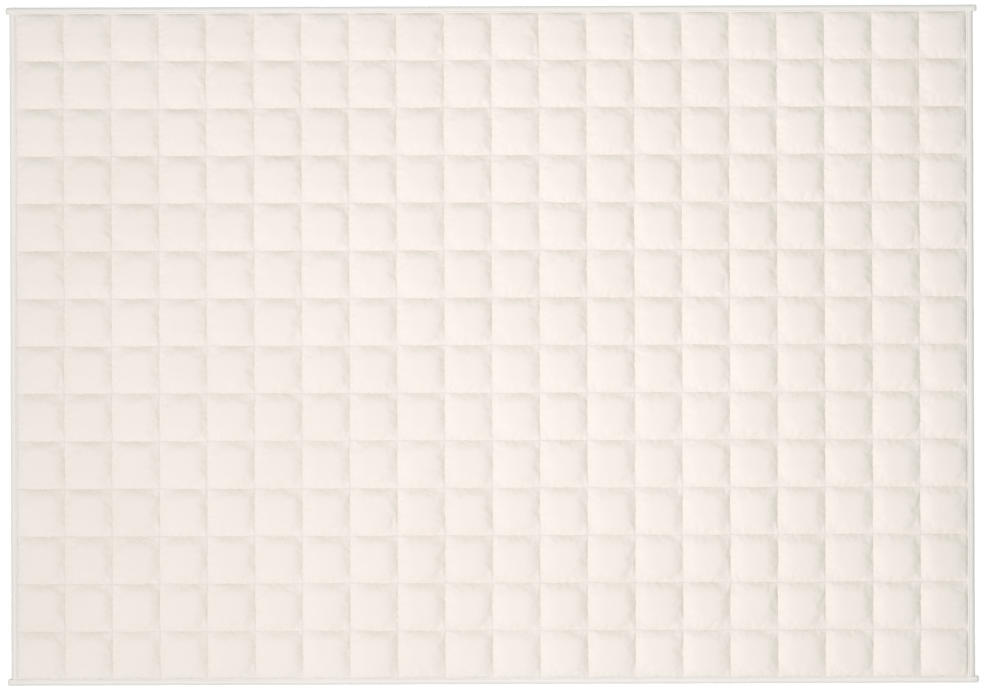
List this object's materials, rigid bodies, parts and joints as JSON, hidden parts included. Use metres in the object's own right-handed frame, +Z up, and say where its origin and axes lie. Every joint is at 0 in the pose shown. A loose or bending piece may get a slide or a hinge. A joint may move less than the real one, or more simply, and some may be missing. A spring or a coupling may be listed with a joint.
{
  "type": "weighted blanket",
  "caption": "Quilted weighted blanket lying flat: square filled pockets between sewn-through seams, with folded tape binding whose ends stand out as nubs at the corners.",
  "frame": {"origin": "on the resting surface, under the middle of the blanket", "axes": "+X along the blanket's length, +Y across its width, +Z up out of its front panel"},
  "size_m": [2.015, 1.4078, 0.0204],
  "materials": {
    "cover_cotton": "soft matt off-white cotton, fine plain weave, lightly puckered along the quilting seams",
    "binding_tape": "folded off-white cotton tape with a faint sheen on its fold"
  },
  "bodies": {
    "root": {"quilted_body": "cover_cotton", "long_binding_back": "binding_tape", "long_binding_front": "binding_tape", "side_binding_right": "binding_tape", "side_binding_left": "binding_tape"}
  },
  "joints": []
}
